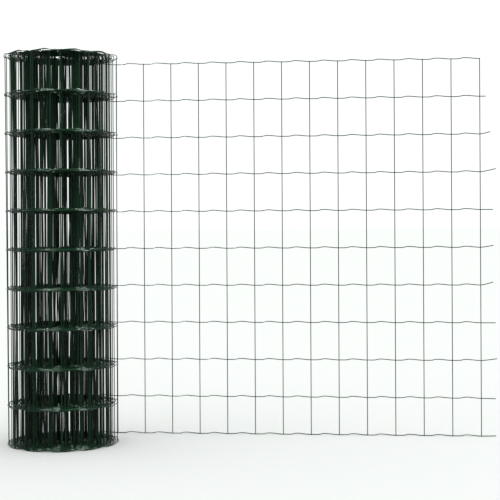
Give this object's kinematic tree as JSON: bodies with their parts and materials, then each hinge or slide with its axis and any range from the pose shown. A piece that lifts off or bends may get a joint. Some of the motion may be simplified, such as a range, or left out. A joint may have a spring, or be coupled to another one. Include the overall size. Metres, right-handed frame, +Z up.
{
  "type": "roll of welded wire fencing",
  "caption": "Upright roll of plastic-coated welded wire mesh fencing, its free end unrolled flat to one side.",
  "frame": {"origin": "centre of the roll's bore, at the floor that the roll stands on", "axes": "+Z up along the roll's axis; +X along the unrolled length, which leaves the roll at its back, +Y, side"},
  "size_m": [1.2801, 0.2949, 1.0052],
  "materials": {
    "coated_wire": "smooth dark moss green plastic coat on steel wire"
  },
  "bodies": {
    "root": {"wound_roll": "coated_wire", "unrolled_mesh": "coated_wire"}
  },
  "joints": []
}
